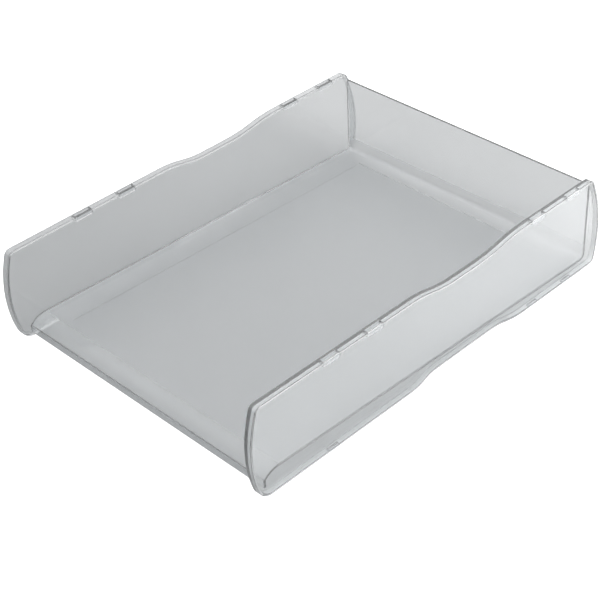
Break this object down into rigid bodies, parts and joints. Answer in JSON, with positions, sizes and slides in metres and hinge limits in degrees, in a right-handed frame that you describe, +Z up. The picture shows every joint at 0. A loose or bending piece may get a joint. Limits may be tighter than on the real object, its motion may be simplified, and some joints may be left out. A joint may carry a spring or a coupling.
{
  "type": "letter tray",
  "caption": "Clear open-front letter tray with flanged, waved side walls, a low rolled lip, rim sockets and foot pegs for stacking.",
  "frame": {"origin": "under the middle of the tray, on the surface its pegs stand on", "axes": "+X across the tray, +Y from the open front to the rear wall, +Z up"},
  "size_m": [0.252, 0.358, 0.0784],
  "materials": {
    "clear_plastic": "clear, polished, moulded polystyrene"
  },
  "bodies": {
    "root": {"floor_panel": "clear_plastic", "front_margin": "clear_plastic", "left_margin": "clear_plastic", "right_margin": "clear_plastic", "lip_crest": "clear_plastic", "lip_face": "clear_plastic", "rear_ramp": "clear_plastic", "rear_wall": "clear_plastic", "left_front_rim": "clear_plastic", "left_grip_rim": "clear_plastic", "left_rear_rim": "clear_plastic", "left_front_rail": "clear_plastic", "left_grip_rail": "clear_plastic", "left_rear_rail": "clear_plastic", "left_front_web": "clear_plastic", "left_grip_web": "clear_plastic", "left_rear_web": "clear_plastic", "left_front_flange": "clear_plastic", "left_rear_flange": "clear_plastic", "left_stacking_sockets": "clear_plastic", "left_stacking_pegs": "clear_plastic", "right_front_rim": "clear_plastic", "right_grip_rim": "clear_plastic", "right_rear_rim": "clear_plastic", "right_front_rail": "clear_plastic", "right_grip_rail": "clear_plastic", "right_rear_rail": "clear_plastic", "right_front_web": "clear_plastic", "right_grip_web": "clear_plastic", "right_rear_web": "clear_plastic", "right_front_flange": "clear_plastic", "right_rear_flange": "clear_plastic", "right_stacking_sockets": "clear_plastic", "right_stacking_pegs": "clear_plastic"}
  },
  "joints": []
}
